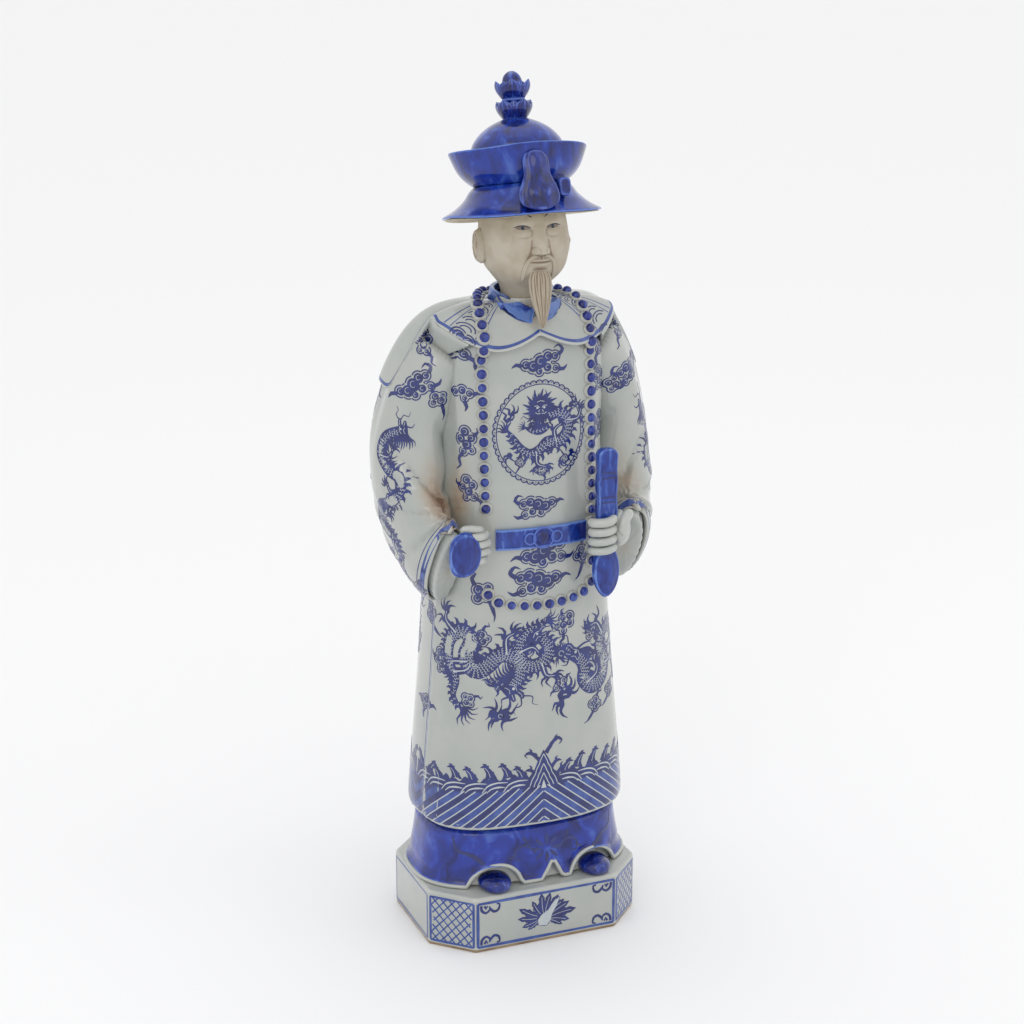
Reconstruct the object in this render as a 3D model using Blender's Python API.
"""A tall porcelain court figure, built as the separately moulded clay pieces that a potter lutes together.

Run it with: blender --background --python part.py
Metres, +Z up. The figure looks along -Y, its own right hand is on the -X side, and the origin is the
middle of the flat foot. Nothing on the fired figure moves.
"""

import math

import bmesh
import bpy
from mathutils import Vector

# Driving dimensions, in metres. Each is a size that can be changed by itself.
SEAM = 0.0003  # dry gap that stands for each luted joint
WALL = 0.006  # slip-cast wall of the robe, the under-skirt and the plinth
THIN_WALL = 0.004  # slip-cast wall of the head and the sleeves

PLINTH_WIDTH = 0.159
PLINTH_DEPTH = 0.122
PLINTH_HEIGHT = 0.042
PLINTH_CORNER = 0.026
PLINTH_EDGE = 0.0025
VENT_RADIUS = 0.008  # lets the kiln gases out
VENT_SETBACK = 0.030
RISER_RADIUS = 0.020  # opening from the plinth into the figure

SKIRT_HEIGHT = 0.045
SKIRT_FOOT_WIDTH = 0.158
SKIRT_FOOT_DEPTH = 0.104
SKIRT_TOP_INSET = 0.004  # how far the robe's hem stands out over it

HEM_WIDTH = 0.150
HEM_DEPTH = 0.109
FLARE_WIDTH = 0.153  # the robe just above its turned-in hem
FLARE_DEPTH = 0.111
KNEE_WIDTH = 0.133
KNEE_DEPTH = 0.104
WAIST_WIDTH = 0.122
WAIST_DEPTH = 0.100
CHEST_WIDTH = 0.116
CHEST_DEPTH = 0.092
GOWN_LENGTH = 0.2105  # hem to belt
TORSO_HEIGHT = 0.1545  # belt to the root of the neck
NECK_WIDTH = 0.036
NECK_LEAN = 0.014  # the neck stands this far forward of the foot's middle
ROBE_POWER = 2.6  # 2 is an ellipse, more is squarer

CAPE_THICKNESS = 0.003
CAPE_DROP = 0.074  # from the root of the neck to the hem behind
CAPE_TIP_REACH = 0.096
CAPE_TIP_DROP = 0.057
CAPE_FRONT_DROP = 0.027

HEAD_WIDTH = 0.060
HEAD_DEPTH = 0.060
HEAD_HEIGHT = 0.062  # root of the neck to the hat
EAR_HEIGHT = 0.022
BEARD_WIDTH = 0.017
BEARD_LENGTH = 0.034
COLLAR_BAND = 0.009
COLLAR_THICKNESS = 0.0035

HAT_TILT = math.radians(12)
BRIM_WIDTH = 0.109
BRIM_DEPTH = 0.088
BRIM_DROP = 0.019  # the lower brim, rim to waist
BRIM_SAG = 0.0035  # how far its rim hangs below the crown of the head
HAT_WAIST_WIDTH = 0.064
UPTURN_WIDTH = 0.094
UPTURN_DEPTH = 0.078
UPTURN_HEIGHT = 0.0223
UPTURN_LIFT = 0.0015  # its front and back stand this much above its sides
CROWN_HEIGHT = 0.0415
FINIAL_BASE_HEIGHT = 0.0125
FINIAL_CUP_HEIGHT = 0.0115
FINIAL_WIDTH = 0.023
CUP_FLOOR = 0.4  # share of a lotus cup's height
BALL_RADIUS = 0.0065
BADGE_SHIFT = -0.0035  # the badge stands a little to the right of the middle
GOURD_HEIGHT = 0.040
GOURD_WIDTH = 0.0265
GOURD_THICKNESS = 0.008

SLEEVE_MOUTH_HEIGHT = 0.070
SLEEVE_MOUTH_WIDTH = 0.030
CUFF_REACH = 0.006  # how far the inner sleeve stands out of the outer one
ELBOW_REACH = 0.100
BELT_WIDTH = 0.064
BELT_BAND = 0.014
BELT_THICKNESS = 0.003
BUCKLE_WIDTH = 0.016
TABLET_LENGTH = 0.068
TABLET_WIDTH = 0.014
TABLET_THICKNESS = 0.008
FIST_WIDTH = 0.023
FIST_HEIGHT = 0.031
FIST_DEPTH = 0.020
FLAP_WIDTH = 0.024
FLAP_HEIGHT = 0.030
LEAF_WIDTH = 0.020  # the left cuff's flap, seen edge-on
LEAF_HEIGHT = 0.037
SHOE_WIDTH = 0.026
SHOE_HEIGHT = 0.011
SHOE_LENGTH = 0.034
SHOE_SPACING = 0.076
SHOE_SHIFT = 0.004  # both shoes stand a little to the left of the middle
SHOE_ARCH = 0.0025  # clear rim of the skirt round each shoe

BEAD_RADIUS = 0.0034
BEAD_PITCH = 0.0098
CORD_RADIUS = 0.0011
STRAND_SPACING = 0.076
STRAND_DIP = 0.018  # how far the loop hangs below its two sides

# Facets, kept low because the fine surface is modelled elsewhere.
ROBE_SIDES = 36
HAT_SIDES = 32
SLEEVE_SIDES = 20
BEAD_SIDES = 6

# Levels, each stacked on the one below.
HEM_LEVEL = PLINTH_HEIGHT + SKIRT_HEIGHT
BELT_LEVEL = HEM_LEVEL + GOWN_LENGTH
NECK_LEVEL = BELT_LEVEL + TORSO_HEIGHT
HAT_LEVEL = NECK_LEVEL + HEAD_HEIGHT


def clear_scene():
    for obj in list(bpy.data.objects):
        bpy.data.objects.remove(obj)


def finish_material(name, colour, roughness):
    made = bpy.data.materials.new(name)
    made.use_nodes = True
    shader = made.node_tree.nodes["Principled BSDF"]
    shader.inputs["Base Color"].default_value = (*colour, 1.0)
    shader.inputs["Roughness"].default_value = roughness
    shader.inputs["Metallic"].default_value = 0.0
    return made


def smooth_knots(knots):
    """A smooth function through (position, value, value, ...) knots, as a draughtsman's spline gives."""

    def slope(i, k):
        before = knots[max(i - 1, 0)]
        after = knots[min(i + 1, len(knots) - 1)]
        return (after[k] - before[k]) / (after[0] - before[0])

    def at(position):
        position = min(max(position, knots[0][0]), knots[-1][0])
        i = 0
        while i < len(knots) - 2 and position > knots[i + 1][0]:
            i += 1
        span = knots[i + 1][0] - knots[i][0]
        t = (position - knots[i][0]) / span
        values = []
        for k in range(1, len(knots[0])):
            a = knots[i][k]
            b = knots[i + 1][k]
            ma = slope(i, k) * span
            mb = slope(i + 1, k) * span
            values.append(
                (2 * t**3 - 3 * t**2 + 1) * a
                + (t**3 - 2 * t**2 + t) * ma
                + (3 * t**2 - 2 * t**3) * b
                + (t**3 - t**2) * mb
            )
        return values

    return at


def oval(half_width, half_depth, angle, power):
    """A point of a superellipse. Angle 0 is the front, -Y, and a quarter turn is +X."""
    s = math.sin(angle)
    c = math.cos(angle)
    x = half_width * math.copysign(abs(s) ** (2 / power), s)
    y = -half_depth * math.copysign(abs(c) ** (2 / power), c)
    return x, y


def ring(half_width, half_depth, centre, sides, power=2.0, tilt=0.0, lift=0.0):
    """One cross-section round centre. tilt leans it back, and lift raises its front and back edge."""
    points = []
    for i in range(sides):
        angle = 2 * math.pi * i / sides
        x, y = oval(half_width, half_depth, angle, power)
        z = lift * math.cos(angle) ** 2
        turned = Vector((x, y * math.cos(tilt) + z * math.sin(tilt), z * math.cos(tilt) - y * math.sin(tilt)))
        points.append(Vector(centre) + turned)
    return points


def skin(name, rings, finish, closed_loop=False):
    """A solid through rings of points: capped at both ends, or joined end to end like a bent tube."""
    bm = bmesh.new()
    loops = [[bm.verts.new(point) for point in loop] for loop in rings]
    pairs = list(zip(loops, loops[1:]))
    if closed_loop:
        pairs.append((loops[-1], loops[0]))
    for lower, upper in pairs:
        count = len(lower)
        for i in range(count):
            j = (i + 1) % count
            bm.faces.new((lower[i], lower[j], upper[j], upper[i]))
    if not closed_loop:
        bm.faces.new(loops[0])
        bm.faces.new(loops[-1])
    bmesh.ops.recalc_face_normals(bm, faces=bm.faces)
    return solid(name, bm, finish)


def solid(name, bm, finish):
    mesh = bpy.data.meshes.new(name)
    bm.to_mesh(mesh)
    bm.free()
    mesh.shade_smooth()
    mesh.set_sharp_from_angle(angle=math.radians(40))
    if finish:
        mesh.materials.append(finish)
    obj = bpy.data.objects.new(name, mesh)
    bpy.context.scene.collection.objects.link(obj)
    return obj


def cutter(obj):
    """Marks obj as a helper that shapes others and isn't a piece."""
    obj.hide_render = True
    obj.display_type = "WIRE"
    return obj


def cut(obj, *tools):
    for tool in tools:
        boolean = obj.modifiers.new("cut_" + tool.name, "BOOLEAN")
        boolean.operation = "DIFFERENCE"
        boolean.solver = "EXACT"
        boolean.object = tool
    return obj


def ellipsoid(name, centre, radii, finish, segments=16, rings=10):
    bm = bmesh.new()
    bmesh.ops.create_uvsphere(bm, u_segments=segments, v_segments=rings, radius=1.0)
    bmesh.ops.scale(bm, vec=radii, verts=bm.verts)
    bmesh.ops.translate(bm, vec=centre, verts=bm.verts)
    return solid(name, bm, finish)


# ---------------------------------------------------------------- the robe, which the rest is fitted to

ROBE = smooth_knots(
    [
        # level, half-width, half-depth, forward lean
        (HEM_LEVEL, HEM_WIDTH / 2, HEM_DEPTH / 2, 0.0),
        (HEM_LEVEL + 0.006, FLARE_WIDTH / 2, FLARE_DEPTH / 2, 0.0),
        (HEM_LEVEL + 0.58 * GOWN_LENGTH, KNEE_WIDTH / 2, KNEE_DEPTH / 2, 0.0),
        (BELT_LEVEL, WAIST_WIDTH / 2, WAIST_DEPTH / 2, 0.0),
        (BELT_LEVEL + 0.45 * TORSO_HEIGHT, CHEST_WIDTH / 2, CHEST_DEPTH / 2, 0.001),
        (BELT_LEVEL + 0.72 * TORSO_HEIGHT, 0.52 * CHEST_WIDTH, 0.43 * CHEST_DEPTH, 0.004),
        (BELT_LEVEL + 0.88 * TORSO_HEIGHT, 0.44 * CHEST_WIDTH, 0.34 * CHEST_DEPTH, 0.009),
        (NECK_LEVEL - 0.005, 0.28 * CHEST_WIDTH, 0.25 * CHEST_DEPTH, NECK_LEAN - 0.002),
        (NECK_LEVEL, NECK_WIDTH / 2, NECK_WIDTH / 2, NECK_LEAN),
    ]
)


def robe_ring(level, grow=0.0, sides=ROBE_SIDES):
    half_width, half_depth, lean = ROBE(level)
    return ring(half_width + grow, half_depth + grow, (0, -lean, level), sides, ROBE_POWER)


def robe_point(angle, level):
    """(point, outward normal) of the robe's skin."""
    half_width, half_depth, lean = ROBE(level)
    x, y = oval(half_width, half_depth, angle, ROBE_POWER)
    step = 0.02
    x1, y1 = oval(half_width, half_depth, angle + step, ROBE_POWER)
    x0, y0 = oval(half_width, half_depth, angle - step, ROBE_POWER)
    higher = ROBE(level + 0.002)
    lower = ROBE(level - 0.002)
    xh, yh = oval(higher[0], higher[1], angle, ROBE_POWER)
    xl, yl = oval(lower[0], lower[1], angle, ROBE_POWER)
    along = Vector((x1 - x0, y1 - y0, 0))
    upward = Vector((xh - xl, yh - higher[2] - yl + lower[2], 0.004))
    return Vector((x, y - lean, level)), along.cross(upward).normalized()


def robe_angle(x, level):
    """The angle at which the robe's front reaches this far to the side."""
    share = min(abs(x) / ROBE(level)[0], 0.999)
    return math.copysign(math.asin(share ** (ROBE_POWER / 2)), x)


def robe_front(x, level):
    return robe_point(robe_angle(x, level), level)


def robe_levels(low, high, count):
    return [low + (high - low) * i / (count - 1) for i in range(count)]


# Rings crowd together where the outline turns quickly: at the hem and over the shoulders.
ROBE_LEVELS = (
    robe_levels(HEM_LEVEL, HEM_LEVEL + 0.006, 3)
    + robe_levels(HEM_LEVEL + 0.034, BELT_LEVEL + 0.6 * TORSO_HEIGHT, 8)
    + robe_levels(BELT_LEVEL + 0.7 * TORSO_HEIGHT, NECK_LEVEL, 7)
)


def make_robe(finish):
    outside = [robe_ring(level) for level in ROBE_LEVELS]
    inside = [robe_ring(level, -WALL) for level in ROBE_LEVELS[:-3:2]]
    throat = ring(NECK_WIDTH / 2 - WALL, NECK_WIDTH / 2 - WALL, (0, -NECK_LEAN, NECK_LEVEL), ROBE_SIDES, ROBE_POWER)
    lower_throat = [point - Vector((0, 0, 2 * WALL)) for point in throat]
    return skin("robe", outside + [throat, lower_throat] + inside[::-1], finish, closed_loop=True)


def make_robe_cutter():
    """The robe filled in and grown by the seam, to fit the pieces that are luted on it."""
    levels = ROBE_LEVELS
    rings = [robe_ring(level, SEAM) for level in levels]
    top = [point + Vector((0, 0, SEAM)) for point in rings[-1]]
    return cutter(skin("robe_cutter", rings + [top], None))


# ---------------------------------------------------------------- plinth, under-skirt and shoes


def plinth_outline(inset, level):
    """The eight corners of the plinth, which has its four corners cut off."""
    half_width = PLINTH_WIDTH / 2 - inset
    half_depth = PLINTH_DEPTH / 2 - inset
    corner = PLINTH_CORNER - inset * (2 - math.sqrt(2))
    quarter = [(half_width, half_depth - corner), (half_width - corner, half_depth)]
    points = list(quarter)
    points += [(-x, y) for x, y in quarter[::-1]]
    points += [(-x, -y) for x, y in quarter]
    points += [(x, -y) for x, y in quarter[::-1]]
    return [Vector((x, y, level)) for x, y in points]


def make_plinth(finish):
    edge = PLINTH_EDGE
    top = PLINTH_HEIGHT
    rings = [
        plinth_outline(edge / 2, 0.0),
        plinth_outline(0.0, edge),
        plinth_outline(0.0, top - edge),
        plinth_outline(edge * 0.3, top - edge * 0.3),
        plinth_outline(edge, top),
    ]
    plinth = skin("plinth", rings, finish)
    hollow = skin(
        "plinth_hollow", [plinth_outline(WALL, WALL), plinth_outline(WALL, top - WALL)], None
    )
    vent = ring(VENT_RADIUS, VENT_RADIUS, (0, VENT_SETBACK, 0), 16)
    vent_rings = [[p + Vector((0, 0, z)) for p in vent] for z in (-WALL, 2 * WALL)]
    riser = ring(RISER_RADIUS, RISER_RADIUS, (0, 0, 0), 20)
    riser_rings = [[p + Vector((0, 0, z)) for p in riser] for z in (top - 2 * WALL, top + WALL)]
    return cut(
        plinth,
        cutter(hollow),
        cutter(skin("vent_cutter", vent_rings, None)),
        cutter(skin("riser_cutter", riser_rings, None)),
    )


def skirt_ring(share, grow=0.0):
    """The under-skirt's section, from its foot on the plinth, 0, to its top under the hem, 1."""
    top_width = HEM_WIDTH / 2 - SKIRT_TOP_INSET
    top_depth = HEM_DEPTH / 2 - SKIRT_TOP_INSET
    flare = (1 - share) ** 1.8
    half_width = top_width + (SKIRT_FOOT_WIDTH / 2 - top_width) * flare + grow
    half_depth = top_depth + (SKIRT_FOOT_DEPTH / 2 - top_depth) * flare + grow
    low = PLINTH_HEIGHT + SEAM
    high = HEM_LEVEL - SEAM
    return ring(half_width, half_depth, (0, 0, low + (high - low) * share), ROBE_SIDES, ROBE_POWER)


def shoe_centre(side):
    x = SHOE_SHIFT + side * SHOE_SPACING / 2
    return Vector((x, -SKIRT_FOOT_DEPTH / 2 + SHOE_LENGTH * 0.20, PLINTH_HEIGHT + SEAM))


def toe_rings(side, grow=0.0):
    """Sections of a shoe from its toe to its heel: half ovals that stand on the plinth."""
    centre = shoe_centre(side)
    rings = []
    for share, size in ((0.0, 0.4), (0.06, 0.7), (0.2, 0.92), (0.45, 1.0), (1.0, 1.0)):
        y = centre.y - SHOE_LENGTH / 2 + SHOE_LENGTH * share
        rings.append(half_oval(centre.x, y, centre.z, size * SHOE_WIDTH / 2 + grow, size * SHOE_HEIGHT + grow))
    return rings


def half_oval(x, y, z, half_width, height, sides=12):
    return [
        Vector((
            x + half_width * math.cos(math.pi * i / sides),
            y,
            z + height * math.sin(math.pi * i / sides),
        ))
        for i in range(sides + 1)
    ]


def make_shoe(side, name, finish):
    return skin(name, toe_rings(side), finish)


def make_skirt(finish):
    shares = (0.0, 0.12, 0.3, 0.55, 0.8, 1.0)
    outside = [skirt_ring(share) for share in shares]
    inside = [skirt_ring(share, -WALL) for share in shares]
    skirt = skin("under_skirt", outside + inside[::-1], finish, closed_loop=True)
    for side, word in ((-1, "right"), (1, "left")):
        centre = shoe_centre(side)
        reach = SHOE_LENGTH * 0.75
        rings = [
            half_oval(
                centre.x,
                centre.y + end * reach,
                centre.z - 4 * SEAM,
                SHOE_WIDTH / 2 + SHOE_ARCH,
                SHOE_HEIGHT + SHOE_ARCH + 4 * SEAM,
            )
            for end in (-1, 1)
        ]
        cut(skirt, cutter(skin("arch_cutter_" + word, rings, None)))
    return skirt


# ---------------------------------------------------------------- what is luted on the robe's front


def robe_patch(name, xs, levels_at, rise, thickness, finish):
    """A slab that follows the robe's front. xs are its columns, and levels_at(x) gives its rows."""
    under = []
    over = []
    for x in xs:
        low = []
        high = []
        for level in levels_at(x):
            point, normal = robe_front(x, level)
            low.append(point + normal * rise)
            high.append(point + normal * (rise + thickness))
        under.append(low)
        over.append(high)
    rings = [low + high[::-1] for low, high in zip(under, over)]
    return skin(name, rings, finish)


def spread(low, high, count):
    return [low + (high - low) * i / (count - 1) for i in range(count)]


def make_belt(finish):
    half = BELT_WIDTH / 2
    rows = spread(BELT_LEVEL - BELT_BAND / 2, BELT_LEVEL + BELT_BAND / 2, 3)
    return robe_patch("belt", spread(-half, half, 11), lambda x: rows, SEAM, BELT_THICKNESS, finish)


def make_buckle(finish):
    half = BUCKLE_WIDTH / 2
    rise = BELT_THICKNESS + 2 * SEAM

    def rows(x):
        reach = BELT_BAND * 0.5 * math.sqrt(max(1 - (x / half) ** 2, 0.12))
        return spread(BELT_LEVEL - reach, BELT_LEVEL + reach, 3)

    return robe_patch("belt_buckle", spread(-half, half, 7), rows, rise, BELT_THICKNESS * 0.8, finish)


def bead_tube(name, path, finish):
    """Clay beads on their cord, as one turned string. path holds (point, outward normal) pairs."""
    lengths = [0.0]
    for (a, _), (b, _) in zip(path, path[1:]):
        lengths.append(lengths[-1] + (b - a).length)
    count = max(int(round(lengths[-1] / BEAD_PITCH)), 1)
    pitch = lengths[-1] / count

    def at(distance):
        i = 0
        while i < len(lengths) - 2 and distance > lengths[i + 1]:
            i += 1
        t = (distance - lengths[i]) / (lengths[i + 1] - lengths[i])
        point = path[i][0].lerp(path[i + 1][0], t)
        normal = path[i][1].lerp(path[i + 1][1], t).normalized()
        along = (path[i + 1][0] - path[i][0]).normalized()
        return point, normal, along

    rings = []
    for bead in range(count):
        middle = pitch * (bead + 0.5)
        for share in (-0.95, -0.55, 0.0, 0.55, 0.95):
            point, normal, along = at(middle + share * BEAD_RADIUS)
            radius = max(BEAD_RADIUS * math.sqrt(1 - share**2), CORD_RADIUS)
            side = along.cross(normal).normalized()
            out = side.cross(along)
            centre = point + normal * (BEAD_RADIUS + SEAM)
            rings.append([
                centre + radius * (math.cos(turn) * out + math.sin(turn) * side)
                for turn in (2 * math.pi * i / BEAD_SIDES for i in range(BEAD_SIDES))
            ])
    return skin(name, rings, finish)


def chest_path(side, low, high):
    return [robe_front(side * STRAND_SPACING / 2, level) for level in spread(low, high, 14)]


def loop_path():
    """The bottom of the necklace, which hangs in a flat curve between its two sides."""
    half = STRAND_SPACING / 2
    top = STRAND_LOOP_LEVEL
    path = []
    for i in range(19):
        turn = math.pi * i / 18
        x = -half * math.cos(turn)
        path.append(robe_front(x, top - STRAND_DIP * math.sin(turn) ** 0.8))
    return path


# ---------------------------------------------------------------- the cape, with its winged shoulders

CAPE_THROAT = NECK_WIDTH / 2 + COLLAR_THICKNESS + 0.001
CAPE_EDGE = smooth_knots(
    [
        # degrees from the throat, reach from the neck, drop, how late it drops
        (0, 0.031, CAPE_FRONT_DROP * 0.65, 1.0),
        (42, 0.042, CAPE_FRONT_DROP, 1.1),
        (64, 0.056, CAPE_FRONT_DROP * 0.75, 1.5),
        (80, 0.071, CAPE_FRONT_DROP * 0.60, 2.0),
        (90, 0.087, CAPE_TIP_DROP * 0.62, 2.8),
        (103, CAPE_TIP_REACH, CAPE_TIP_DROP, 3.6),
        (126, CAPE_TIP_REACH * 0.88, CAPE_DROP * 0.95, 2.6),
        (180, CAPE_DROP * 0.84, CAPE_DROP, 1.6),
    ]
)
CAPE_TURNS = (0, 14, 28, 40, 52, 64, 72, 80, 85, 90, 96, 103, 110, 118, 127, 140, 153, 166, 180)
CAPE_SHARES = (0.0, 0.25, 0.5, 0.72, 0.88, 1.0)


def robe_height(x, y):
    """The level of the robe's skin over a point in plan, or the belt's level outside the robe."""

    def inside(level):
        half_width, half_depth, lean = ROBE(level)
        return abs(x / half_width) ** ROBE_POWER + abs((y + lean) / half_depth) ** ROBE_POWER < 1

    low = BELT_LEVEL
    high = NECK_LEVEL
    if not inside(low):
        return low
    for _ in range(24):
        middle = (low + high) / 2
        if inside(middle):
            low = middle
        else:
            high = middle
    return high


def cape_point(degrees, share):
    """The cape's underside, from the throat, 0, to its hem, 1. Degrees run from the throat to each side."""
    reach, drop, late = CAPE_EDGE(abs(degrees))
    turn = math.radians(degrees)
    radius = CAPE_THROAT + (reach - CAPE_THROAT) * share
    x = radius * math.sin(turn)
    y = -NECK_LEAN - radius * math.cos(turn)
    level = NECK_LEVEL + SEAM - drop * share**late
    return Vector((x, y, max(level, robe_height(x, y) + 2 * SEAM)))


def cape_normal(degrees, share):
    """The way the cape's upper side faces."""
    step = 0.03
    along = cape_point(degrees + 2, share) - cape_point(degrees - 2, share)
    outward = cape_point(degrees, min(share + step, 1)) - cape_point(degrees, max(share - step, 0))
    return outward.cross(along).normalized()


def cape_ring(share, rise):
    turns = list(CAPE_TURNS) + [-turn for turn in CAPE_TURNS[-2:0:-1]]
    return [cape_point(turn, share) + cape_normal(turn, share) * rise for turn in turns]


def make_cape(finish, robe_cutter):
    under = [cape_ring(share, 0.0) for share in CAPE_SHARES]
    over = [cape_ring(share, CAPE_THICKNESS) for share in CAPE_SHARES]
    return cut(skin("shoulder_cape", under[::-1] + over, finish, closed_loop=True), robe_cutter)


def make_cape_cutter():
    """All that is above the cape's underside or beside its hem, to trim the shoulders of the sleeves."""
    under = [cape_ring(share, -SEAM) for share in CAPE_SHARES]
    over = [[point + Vector((0, 0, CAPE_DROP)) for point in loop] for loop in under]
    outward = [(a - b).normalized() * 2 * SEAM for a, b in zip(cape_ring(1.0, 0), cape_ring(0.95, 0))]
    low_rim = [point + step for point, step in zip(under[-1], outward)]
    high_rim = [point + step for point, step in zip(cape_ring(1.0, CAPE_THICKNESS + 2 * SEAM), outward)]
    sky = [point + Vector((0, 0, CAPE_DROP)) for point in high_rim]
    rings = [low_rim] + under[-2::-1] + over[:-1] + [sky, high_rim]
    return cutter(skin("cape_cutter", rings, None, closed_loop=True))


def nape_path():
    """The necklace on the cape, from one collar-bone round the nape to the other."""
    radius_at = smooth_knots([(62, 0.044), (80, 0.034), (105, 0.030), (180, 0.029)])
    path = []
    for i in range(41):
        degrees = 62 + (298 - 62) * i / 40
        signed = degrees if degrees <= 180 else degrees - 360
        radius = radius_at(abs(signed))[0]
        reach = CAPE_EDGE(abs(signed))[0]
        share = (radius - CAPE_THROAT) / (reach - CAPE_THROAT)
        normal = cape_normal(signed, share)
        path.append((cape_point(signed, share) + normal * (CAPE_THICKNESS + SEAM), normal))
    return path


def make_collar(side, name, finish):
    """Half of the stand-up collar, an arched band that drops towards the throat."""
    rings = []
    inner = NECK_WIDTH / 2
    outer = inner + COLLAR_THICKNESS
    for i in range(9):
        turn = math.radians(9 + 141 * i / 8)
        low = NECK_LEVEL + SEAM
        high = low + COLLAR_BAND * (0.75 + 0.45 * math.sin(turn / 2) ** 2)
        corners = ((inner, low), (outer, low), (outer * 1.02, high), (inner * 1.02, high))
        rings.append([
            Vector((side * radius * math.sin(turn), -NECK_LEAN - radius * math.cos(turn), level))
            for radius, level in corners
        ])
    return skin(name, rings, finish)


# ---------------------------------------------------------------- sleeves, cuffs, hands and the tablet

SHOULDER = Vector((0.050, 0.002, NECK_LEVEL - 0.028))
MOUTH = Vector((0.066, -0.040, BELT_LEVEL - 0.0155))
ELBOW_SIZE = 0.0245
ELBOW = Vector((ELBOW_REACH - ELBOW_SIZE, 0.006, (SHOULDER.z * 0.4 + MOUTH.z * 0.6)))


def sleeve_stations():
    """(centre, half-height, half-width) from the shoulder to the mouth."""
    half_height = SLEEVE_MOUTH_HEIGHT / 2
    half_width = SLEEVE_MOUTH_WIDTH / 2
    upper = ELBOW - SHOULDER
    fore = MOUTH - ELBOW
    return [
        (SHOULDER, 0.020, 0.012),
        (SHOULDER + Vector((upper.x * 0.42, upper.y * 0.5, upper.z * 0.22)), 0.026, 0.020),
        (SHOULDER + Vector((upper.x * 0.82, upper.y * 1.2, upper.z * 0.55)), 0.030, 0.0235),
        (SHOULDER + Vector((upper.x, upper.y * 1.4, upper.z * 0.86)), 0.032, ELBOW_SIZE),
        (ELBOW + Vector((0.0, fore.y * 0.10, fore.z * 0.30)), half_height * 0.97, ELBOW_SIZE * 0.98),
        (ELBOW + Vector((fore.x * 0.10, fore.y * 0.38, fore.z * 0.62)), half_height * 1.02, ELBOW_SIZE * 0.90),
        (ELBOW + Vector((fore.x * 0.42, fore.y * 0.70, fore.z * 0.86)), half_height * 1.02, half_width * 1.2),
        (MOUTH, half_height, half_width),
    ]


def sweep(stations, side, sides, grow=0.0):
    """Oval rings along a bent path in the side view, mirrored to the figure's other side by side."""
    rings = []
    for i, (centre, half_height, half_width) in enumerate(stations):
        before = stations[max(i - 1, 0)][0]
        after = stations[min(i + 1, len(stations) - 1)][0]
        along = (after - before).normalized()
        across = Vector((1, 0, 0))
        tall = along.cross(across).normalized()
        across = tall.cross(along)
        loop = []
        for k in range(sides):
            turn = 2 * math.pi * k / sides
            point = (
                centre
                + tall * math.cos(turn) * (half_height + grow)
                + across * math.sin(turn) * (half_width + grow)
            )
            loop.append(Vector((side * point.x, point.y, point.z)))
        rings.append(loop)
    return rings


def make_sleeve(side, name, finish, robe_cutter, cape_cutter):
    stations = sleeve_stations()
    outside = sweep(stations, side, SLEEVE_SIDES)
    inside = sweep(stations, side, SLEEVE_SIDES, -THIN_WALL)[-2:]
    sleeve = skin(name, outside + inside[::-1], finish)
    return cut(sleeve, robe_cutter, cape_cutter)


def make_sleeve_plug(side, name):
    """The sleeve filled in and grown by the seam, to trim the hand that comes out of it."""
    stations = sleeve_stations()
    (deep, _, _), (mouth, half_height, half_width) = stations[-2:]
    end = (mouth + (mouth - deep).normalized() * SEAM, half_height, half_width)
    return cutter(skin(name, sweep(stations + [end], side, SLEEVE_SIDES, SEAM), None))


def cuff_stations(grow=0.0):
    """The inner sleeve, which fills the mouth of the outer one and stands a little out of it."""
    stations = sleeve_stations()
    (deep, _, _), (mouth, half_height, half_width) = stations[-2:]
    along = (mouth - deep).normalized()
    clear = THIN_WALL + SEAM
    return [
        (deep.lerp(mouth, 0.35), half_height - clear + grow, half_width - clear + grow),
        (mouth, half_height - clear + grow, half_width - clear + grow),
        (mouth + along * (CUFF_REACH + grow), (half_height - clear) * 0.9 + grow, (half_width - clear) * 0.85 + grow),
    ]


def make_cuff(side, name, finish, robe_cutter):
    return cut(skin(name, sweep(cuff_stations(), side, SLEEVE_SIDES), finish), robe_cutter)


def hand_stations(side, grow=0.0):
    """(centre, half-height, half-depth) from the wrist to the knuckles, across the body."""
    fist = Vector((STRAND_SPACING / 2 + 0.005, -0.064, BELT_LEVEL))
    if side > 0:
        found = [
            (Vector((MOUTH.x - 0.003, -0.049, BELT_LEVEL - 0.009)), 0.012, 0.009),
            (Vector((MOUTH.x - 0.012, -0.058, BELT_LEVEL - 0.004)), 0.013, 0.009),
            (fist + Vector((FIST_WIDTH * 0.35, 0, 0)), FIST_HEIGHT * 0.48, FIST_DEPTH / 2),
            (fist - Vector((FIST_WIDTH * 0.2, 0, 0)), FIST_HEIGHT / 2, FIST_DEPTH / 2),
            (fist - Vector((FIST_WIDTH / 2, 0, 0)), FIST_HEIGHT * 0.4, FIST_DEPTH * 0.35),
        ]
    else:
        found = [
            (Vector((MOUTH.x - 0.003, -0.049, BELT_LEVEL - 0.004)), 0.011, 0.008),
            (Vector((MOUTH.x - 0.013, -0.053, BELT_LEVEL - 0.002)), 0.012, 0.008),
            (Vector((MOUTH.x - 0.024, -0.055, BELT_LEVEL)), 0.0115, 0.007),
            (Vector((BELT_WIDTH / 2 + 0.004, -0.053, BELT_LEVEL + 0.001)), 0.009, 0.005),
        ]
    return [(centre, height + grow, depth + grow) for centre, height, depth in found]


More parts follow.
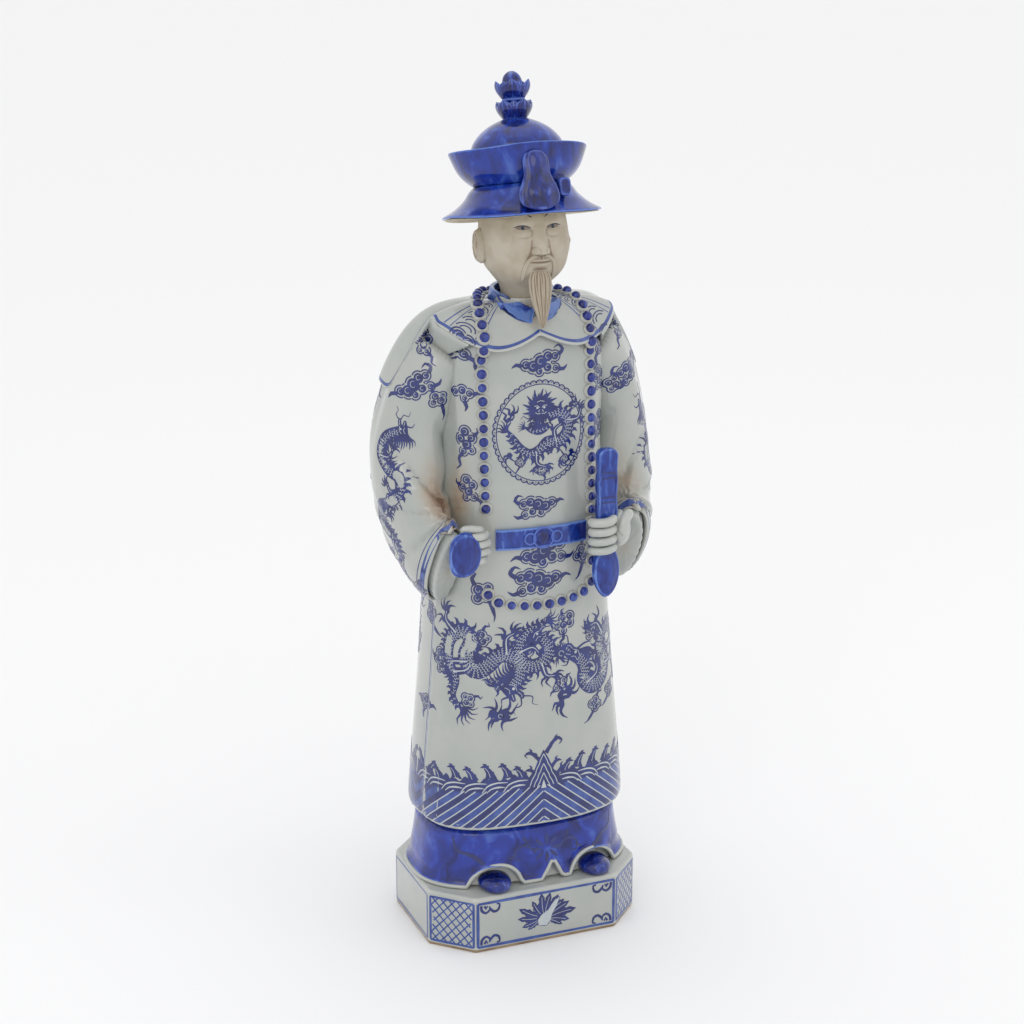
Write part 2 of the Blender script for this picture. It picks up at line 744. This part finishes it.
def hand_rings(side, grow=0.0):
    """Upright ovals, each square to the way the hand points in plan."""
    stations = hand_stations(side, grow)
    rings = []
    for i, (centre, half_height, half_depth) in enumerate(stations):
        before = stations[max(i - 1, 0)][0]
        after = stations[min(i + 1, len(stations) - 1)][0]
        along = after - before
        along.z = 0
        across = Vector((-along.y, along.x, 0)).normalized()
        loop = []
        for k in range(14):
            turn = 2 * math.pi * k / 14
            x, z = oval(half_depth, half_height, turn, 2.5)
            point = centre + across * x + Vector((0, 0, z))
            loop.append(Vector((side * point.x, point.y, point.z)))
        rings.append(loop)
    return rings


def make_cuff_cutter(side, name):
    return cutter(skin(name, sweep(cuff_stations(SEAM), side, SLEEVE_SIDES), None))


def make_hand(side, name, finish, *tools):
    return cut(skin(name, hand_rings(side), finish), *tools)


def make_tablet(name, finish, grow=0.0):
    """The court tablet, a flat bar with a round head that stands in the left fist."""
    fist = hand_stations(1)[3][0]
    low = fist.z - FIST_HEIGHT * 0.12 - grow
    high = low + TABLET_LENGTH + 2 * grow
    half = TABLET_WIDTH / 2 + grow
    outline = [Vector((-half, 0, low)), Vector((half, 0, low))]
    for i in range(9):
        turn = math.pi * i / 8
        outline.append(Vector((half * math.cos(turn), 0, high - half * (1 - 0.6 * math.sin(turn)))))
    depth = TABLET_THICKNESS / 2 + grow
    centre = Vector((fist.x + FIST_WIDTH * 0.1, fist.y, 0))
    rings = [[centre + point + Vector((0, y, 0)) for point in outline] for y in (-depth, depth)]
    return skin(name, rings, finish)


def make_flap(side, name, finish, cuff_tool):
    """A horse-hoof cuff, the turned-back flap over the hand: round on the right, a leaf on the left."""
    word = "right" if side < 0 else "left"
    if side < 0:
        centre = Vector((-MOUTH.x + 0.005, -0.0615, BELT_LEVEL - 0.0015))
        radii = (FLAP_WIDTH / 2, 0.0045, FLAP_HEIGHT / 2)
    else:
        fist = hand_stations(1)[3][0]
        centre = Vector((fist.x + 0.001, fist.y, fist.z - FIST_HEIGHT / 2 - LEAF_HEIGHT * 0.28))
        radii = (LEAF_WIDTH / 2, 0.0045, LEAF_HEIGHT / 2)
    flap = ellipsoid(name, centre, radii, finish, 16, 10)
    hand_tool = cutter(skin("hand_cutter_" + word, hand_rings(side, SEAM), None))
    return cut(flap, hand_tool, cuff_tool)


# ---------------------------------------------------------------- head


HEAD = smooth_knots(
    [
        # share of the height, half-width, half-depth, forward lean, backward tilt
        (0.0, 0.0145, 0.0140, NECK_LEAN, 0.0),
        (0.18, 0.0150, 0.0150, NECK_LEAN + 0.001, 0.0),
        (0.30, HEAD_WIDTH * 0.36, HEAD_DEPTH * 0.36, NECK_LEAN + 0.004, 0.0),
        (0.42, HEAD_WIDTH * 0.44, HEAD_DEPTH * 0.45, NECK_LEAN + 0.004, 0.0),
        (0.60, HEAD_WIDTH * 0.49, HEAD_DEPTH * 0.49, NECK_LEAN + 0.003, HAT_TILT * 0.2),
        (0.80, HEAD_WIDTH * 0.49, HEAD_DEPTH * 0.49, NECK_LEAN + 0.001, HAT_TILT * 0.6),
        (1.0, HEAD_WIDTH * 0.46, HEAD_DEPTH * 0.47, NECK_LEAN - 0.001, HAT_TILT),
    ]
)


HEAD_SHARES = (0.0, 0.1, 0.2, 0.27, 0.34, 0.44, 0.6, 0.8, 1.0)


def head_ring(share, grow=0.0):
    half_width, half_depth, lean, tilt = HEAD(share)
    centre = (0, -lean, NECK_LEVEL + SEAM + share * (HEAD_HEIGHT - 2 * SEAM))
    return ring(half_width + grow, half_depth + grow, centre, 24, 2.2, tilt)


def make_head(finish):
    outside = [head_ring(share) for share in HEAD_SHARES]
    inside = [head_ring(share, -THIN_WALL) for share in HEAD_SHARES[::2]]
    return skin("head", outside + inside[::-1], finish, closed_loop=True)


def make_head_cutter():
    return cutter(skin("head_cutter", [head_ring(share, SEAM) for share in HEAD_SHARES], None))


def make_ear(side, name, finish, head_cutter):
    centre = (side * HEAD_WIDTH * 0.49, -NECK_LEAN + 0.001, NECK_LEVEL + HEAD_HEIGHT * 0.62)
    return cut(ellipsoid(name, centre, (0.0038, 0.0065, EAR_HEIGHT / 2), finish, 12, 8), head_cutter)


def make_beard(finish, head_cutter):
    front = NECK_LEAN + HEAD_DEPTH * 0.45
    top = NECK_LEVEL + HEAD_HEIGHT * 0.36
    rings = []
    for share, width, depth, lean in (
        (0.0, 0.44, 0.0030, 0.0035),
        (0.3, 0.50, 0.0034, 0.0040),
        (0.6, 0.40, 0.0030, 0.0050),
        (0.85, 0.22, 0.0022, 0.0062),
        (1.0, 0.07, 0.0012, 0.0070),
    ):
        centre = (0, -front - lean, top - share * BEARD_LENGTH)
        rings.append(ring(BEARD_WIDTH * width, depth, centre, 12))
    return cut(skin("beard", rings, finish), head_cutter)


# ---------------------------------------------------------------- hat, made upright and leant back as one

HAT_WAIST = BRIM_DROP - BRIM_SAG
UPTURN_TOP = HAT_WAIST + UPTURN_HEIGHT
CROWN_FOOT = HAT_WAIST + 0.0015
CROWN_TOP = CROWN_FOOT + CROWN_HEIGHT


def hat_ring(half_width, half_depth, level, lift=0.0, sides=HAT_SIDES):
    return ring(half_width, half_depth, (0, 0, level), sides, 2.0, 0.0, lift)


def make_lower_brim(name, finish, grow=0.0):
    """The drooping brim: a cone outside, and a shallow hollow underneath that rests on the head."""
    waist = HAT_WAIST_WIDTH / 2
    rim = -BRIM_SAG
    wide = BRIM_WIDTH / 2
    deep = BRIM_DEPTH / 2
    outside = [
        hat_ring(wide + grow, deep + grow, rim, -BRIM_SAG),
        hat_ring(wide * 0.985 + grow, deep * 0.985 + grow, rim + 0.0022 + grow, -BRIM_SAG),
        hat_ring(waist * 1.32 + grow, waist * 1.20 + grow, HAT_WAIST - BRIM_DROP * 0.54 + grow),
        hat_ring(waist * 1.10 + grow, waist * 1.04 + grow, HAT_WAIST - BRIM_DROP * 0.17 + grow),
        hat_ring(waist + grow, waist * 0.96 + grow, HAT_WAIST - SEAM + grow),
    ]
    if grow:
        return skin(name, outside, finish)
    inside = [
        hat_ring(waist * 0.60, waist * 0.60, HAT_WAIST - SEAM),
        hat_ring(waist * 0.60, waist * 0.60, 0.004),
        hat_ring(waist * 0.72, waist * 0.72, 0.0),
        hat_ring(HEAD_WIDTH * 0.55, HEAD_DEPTH * 0.55, 0.0),
        hat_ring(wide * 0.93, deep * 0.93, rim + 0.0006, -BRIM_SAG),
    ]
    return skin(name, outside + inside, finish, closed_loop=True)


def make_upturned_brim(name, finish, grow=0.0):
    """The turned-up brim: a bowl round the crown that ends in a sharp rim."""
    waist = HAT_WAIST_WIDTH / 2
    wide = UPTURN_WIDTH / 2
    deep = UPTURN_DEPTH / 2
    outside = [
        hat_ring(waist + grow, waist * 0.96 + grow, HAT_WAIST - grow),
        hat_ring(waist * 0.5 + wide * 0.5 + grow, waist * 0.48 + deep * 0.5 + grow, HAT_WAIST + UPTURN_HEIGHT * 0.32),
        hat_ring(wide * 0.95 + grow, deep * 0.95 + grow, HAT_WAIST + UPTURN_HEIGHT * 0.74, UPTURN_LIFT / 2),
        hat_ring(wide + grow, deep + grow, UPTURN_TOP, UPTURN_LIFT),
    ]
    if grow:
        return skin(name, outside, finish)
    inside = [
        hat_ring(wide * 0.96, deep * 0.96, UPTURN_TOP + 0.001, UPTURN_LIFT),
        hat_ring(wide * 0.87, deep * 0.87, UPTURN_TOP - 0.003, UPTURN_LIFT / 2),
        hat_ring(waist * 1.0, waist * 0.95, CROWN_FOOT + 0.006),
        hat_ring(waist * 0.93, waist * 0.88, CROWN_FOOT - SEAM),
        hat_ring(waist * 0.60, waist * 0.60, CROWN_FOOT - SEAM),
        hat_ring(waist * 0.60, waist * 0.60, HAT_WAIST),
    ]
    return skin(name, outside + inside, finish, closed_loop=True)


def make_crown(finish):
    """The domed crown: a slip-cast shell that is open underneath."""
    outside = []
    inside = []
    for share, size in (
        (0.0, 0.90),
        (0.3, 0.97),
        (0.55, 0.97),
        (0.70, 0.88),
        (0.82, 0.74),
        (0.92, 0.54),
        (1.0, 0.30),
    ):
        level = CROWN_FOOT + CROWN_HEIGHT * share
        radius = size * HAT_WAIST_WIDTH / 2
        hollow = radius - THIN_WALL
        outside.append(hat_ring(radius, radius * 0.95, level))
        inside.append(hat_ring(hollow, hollow * 0.95, max(level - THIN_WALL, CROWN_FOOT)))
    return skin("hat_crown", outside + inside[::-2], finish, closed_loop=True)


def make_lotus_cup(name, low, stem, height, width, finish):
    """A cup of pointed petals on a short stem. Its floor, below the petals' tips, seats what stands in it."""
    petals = 5
    sides = petals * 4
    foot = low + stem

    def wavy(radius, level, rise=0.0):
        points = []
        for i in range(sides):
            turn = 2 * math.pi * i / sides
            peak = abs(math.cos(petals * turn / 2))
            reach = radius * (1 + rise * 0.3 * (peak - 0.5))
            points.append(Vector((
                reach * math.sin(turn),
                -reach * math.cos(turn),
                foot + height * (level + rise * peak),
            )))
        return points

    half = width / 2
    rings = [
        wavy(half * 0.80, 0.0),
        wavy(half * 0.96, 0.35),
        wavy(half * 1.0, 0.55, 0.45),
        wavy(half * 0.84, 0.55, 0.42),
        wavy(half * 0.80, CUP_FLOOR),
    ]
    if stem:
        rings = [[Vector((p.x * 0.7, p.y * 0.7, low)) for p in rings[0]]] + rings
    return skin(name, rings, finish)


def make_gourd(finish, brim_tools):
    """The hat's front ornament, a double gourd in low relief."""
    centre = Vector((BADGE_SHIFT, -HAT_WAIST_WIDTH / 2 - 0.0085, HAT_WAIST + 0.001))
    outline = smooth_knots(
        [
            (0.0, 0.10),
            (0.06, 0.62),
            (0.24, 1.0),
            (0.44, 0.84),
            (0.60, 0.60),
            (0.82, 0.66),
            (0.95, 0.42),
            (1.0, 0.10),
        ]
    )
    rings = []
    for share in (0.0, 0.05, 0.14, 0.26, 0.4, 0.54, 0.68, 0.82, 0.93, 1.0):
        half_width = outline(share)[0] * GOURD_WIDTH / 2
        half_depth = min(GOURD_THICKNESS / 2, half_width * 0.8)
        lean = 0.005 * (0.5 - share)
        level = centre.z + (share - 0.5) * GOURD_HEIGHT
        rings.append(ring(half_width, half_depth, (centre.x, centre.y - lean, level), 14))
    return cut(skin("hat_badge", rings, finish), *brim_tools)


def make_hat(finishes):
    """Every piece of the hat, hung from one empty that leans it back."""
    seat = bpy.data.objects.new("hat_seat", None)
    bpy.context.scene.collection.objects.link(seat)
    seat.location = (0, -NECK_LEAN + 0.001, HAT_LEVEL)
    seat.rotation_euler = (-HAT_TILT, 0, 0)
    blue = finishes["cobalt"]
    dark = finishes["dark_cobalt"]
    tools = [
        cutter(make_lower_brim("lower_brim_cutter", None, SEAM)),
        cutter(make_upturned_brim("upturned_brim_cutter", None, SEAM)),
    ]
    cup_low = CROWN_TOP + SEAM
    second_low = cup_low + FINIAL_BASE_HEIGHT * CUP_FLOOR + SEAM
    stem = FINIAL_BASE_HEIGHT * (1 - CUP_FLOOR)
    ball_level = second_low + stem + FINIAL_CUP_HEIGHT * CUP_FLOOR + BALL_RADIUS + SEAM
    tab = Vector((BADGE_SHIFT + HAT_WAIST_WIDTH * 0.25, -HAT_WAIST_WIDTH * 0.5 - 0.002, HAT_WAIST - 0.001))
    pieces = tools + [
        make_lower_brim("lower_brim", blue),
        make_upturned_brim("upturned_brim", blue),
        make_crown(blue),
        make_lotus_cup("finial_base_cup", cup_low, 0.0, FINIAL_BASE_HEIGHT, FINIAL_WIDTH, dark),
        make_lotus_cup("finial_upper_cup", second_low, stem, FINIAL_CUP_HEIGHT, FINIAL_WIDTH, dark),
        ellipsoid("finial_ball", (0, 0, ball_level), (BALL_RADIUS,) * 3, dark, 14, 9),
        make_gourd(dark, tools),
        cut(ellipsoid("plume_tab", tab, (0.0048, 0.0035, 0.0058), dark, 12, 8), *tools),
    ]
    for piece in pieces:
        piece.parent = seat
    return pieces


# ---------------------------------------------------------------- the whole figure

STRAND_TOP_LEVEL = NECK_LEVEL - CAPE_FRONT_DROP - BEAD_PITCH * 0.75
STRAND_LOOP_LEVEL = BELT_LEVEL - 0.033


def main():
    clear_scene()
    white = finish_material("white_glaze", (0.62, 0.65, 0.62), 0.18)
    blue = finish_material("cobalt_wash", (0.05, 0.10, 0.42), 0.16)
    dark = finish_material("dark_cobalt", (0.02, 0.04, 0.22), 0.16)
    clay = finish_material("biscuit_clay", (0.55, 0.48, 0.38), 0.6)

    make_plinth(white)
    make_skirt(blue)
    make_shoe(-1, "shoe_right", dark)
    make_shoe(1, "shoe_left", dark)

    make_robe(white)
    robe_cutter = make_robe_cutter()
    make_belt(blue)
    make_buckle(dark)

    make_cape(white, robe_cutter)
    cape_cutter = make_cape_cutter()
    for side, word in ((-1, "right"), (1, "left")):
        make_collar(side, "collar_" + word, blue)
        make_sleeve(side, "sleeve_" + word, white, robe_cutter, cape_cutter)
        make_cuff(side, "inner_cuff_" + word, white, robe_cutter)
        cuff_cutter = make_cuff_cutter(side, "cuff_cutter_" + word)
        make_flap(side, "cuff_flap_" + word, dark, cuff_cutter)
        sleeve_plug = make_sleeve_plug(side, "sleeve_plug_" + word)
        hand = make_hand(side, "hand_" + word, white, sleeve_plug, cuff_cutter, robe_cutter)
        if side > 0:
            cut(hand, cutter(make_tablet("tablet_hole", None, SEAM)))
    make_tablet("court_tablet", dark)

    bead_tube("beads_right", chest_path(-1, BELT_LEVEL + 0.016, STRAND_TOP_LEVEL), dark)
    bead_tube("beads_left", chest_path(1, STRAND_LOOP_LEVEL + BEAD_PITCH * 0.5, STRAND_TOP_LEVEL), dark)
    bead_tube("beads_loop", loop_path(), dark)
    bead_tube("beads_nape", nape_path(), dark)

    make_head(clay)
    head_cutter = make_head_cutter()
    make_ear(-1, "ear_right", clay, head_cutter)
    make_ear(1, "ear_left", clay, head_cutter)
    make_beard(clay, head_cutter)
    make_hat({"cobalt": blue, "dark_cobalt": dark})


main()
